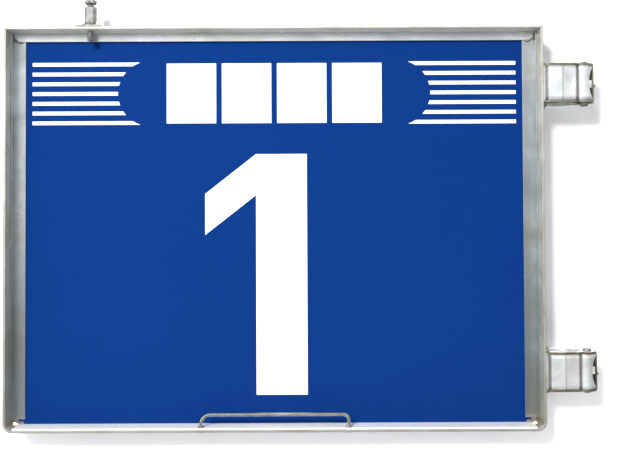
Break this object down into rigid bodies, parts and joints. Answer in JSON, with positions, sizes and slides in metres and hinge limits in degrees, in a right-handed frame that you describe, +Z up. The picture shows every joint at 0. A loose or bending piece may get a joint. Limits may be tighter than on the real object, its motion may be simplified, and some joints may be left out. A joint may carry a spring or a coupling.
{
  "type": "gate number sign",
  "caption": "Gate number sign: a flat board in a deep plated steel frame with a wire handle, a bolt post on top and hinged pressed clamps that close round an upright pole.",
  "frame": {"origin": "on the axis of the pole that the clamps close round, half way up the lower clamp", "axes": "+X along the sign away from its board, -Y out of the front of the sign, +Z up along the pole"},
  "size_m": [0.8745, 0.0693, 0.6438],
  "materials": {
    "plated_frame": "zinc plated, semi-gloss",
    "pressed_steel": "bright zinc plated",
    "plated_fastener": "zinc plated",
    "handle_wire": "zinc plated",
    "board_blue": "satin",
    "white_film": "satin film"
  },
  "bodies": {
    "frame": {"left_side": "plated_frame", "right_side": "plated_frame", "left_corner": "plated_frame", "right_corner": "plated_frame", "bottom_leg": "plated_frame", "top_bar": "plated_frame", "bottom_liner": "plated_frame", "left_plate": "plated_frame", "left_return": "plated_frame", "right_plate": "plated_frame", "right_return": "plated_frame", "top_face": "plated_frame", "board": "board_blue", "left_retaining_bar": "plated_frame", "right_retaining_bar": "plated_frame", "board_studs": "plated_fastener", "board_nuts": "plated_fastener", "left_stripes": "white_film", "right_stripes": "white_film", "title_film": "white_film", "numeral_film": "white_film", "wire_handle": "handle_wire", "post_base": "plated_frame", "post_nut": "plated_fastener", "lower_saddle": "pressed_steel", "lower_hinge_pin": "plated_fastener", "lower_rivet": "plated_fastener", "upper_saddle": "pressed_steel", "upper_hinge_pin": "plated_fastener", "upper_rivet": "plated_fastener"},
    "post_bolt": {"post_bolt": "plated_fastener"},
    "lower_lid": {"lower_lid": "pressed_steel"},
    "lower_swing_bolt": {"lower_swing_bolt": "plated_fastener"},
    "lower_nut": {"lower_washer": "plated_fastener", "lower_nut": "plated_fastener"},
    "upper_lid": {"upper_lid": "pressed_steel"},
    "upper_swing_bolt": {"upper_swing_bolt": "plated_fastener"},
    "upper_nut": {"upper_washer": "plated_fastener", "upper_nut": "plated_fastener"}
  },
  "joints": [
    {"name": "post_bolt_travel", "type": "slide", "parent": "frame", "child": "post_bolt", "axis": [0, 0, 1], "range_m": [-0.0046, 0.025]},
    {"name": "lower_bolt_swing", "type": "hinge", "parent": "frame", "child": "lower_swing_bolt", "pos_m": [0.0325, -0.009, 0], "axis": [0, 0, -1], "range_deg": [0, 90]},
    {"name": "lower_lid_open", "type": "hinge", "parent": "frame", "child": "lower_lid", "pos_m": [-0.0205, 0.025, 0], "axis": [0, 0, 1], "range_deg": [0, 30]},
    {"name": "lower_nut_travel", "type": "slide", "parent": "lower_swing_bolt", "child": "lower_nut", "axis": [0, 1, 0], "range_m": [-0.0084, 0.003]},
    {"name": "upper_bolt_swing", "type": "hinge", "parent": "frame", "child": "upper_swing_bolt", "pos_m": [0.0325, -0.009, 0.425], "axis": [0, 0, -1], "range_deg": [0, 90]},
    {"name": "upper_lid_open", "type": "hinge", "parent": "frame", "child": "upper_lid", "pos_m": [-0.0205, 0.025, 0.425], "axis": [0, 0, 1], "range_deg": [0, 30]},
    {"name": "upper_nut_travel", "type": "slide", "parent": "upper_swing_bolt", "child": "upper_nut", "axis": [0, 1, 0], "range_m": [-0.0084, 0.003]}
  ],
  "couplings": [
    {"joint": "lower_lid_open", "follows": "lower_bolt_swing", "ratio": 0.3333},
    {"joint": "upper_lid_open", "follows": "upper_bolt_swing", "ratio": 0.3333}
  ]
}
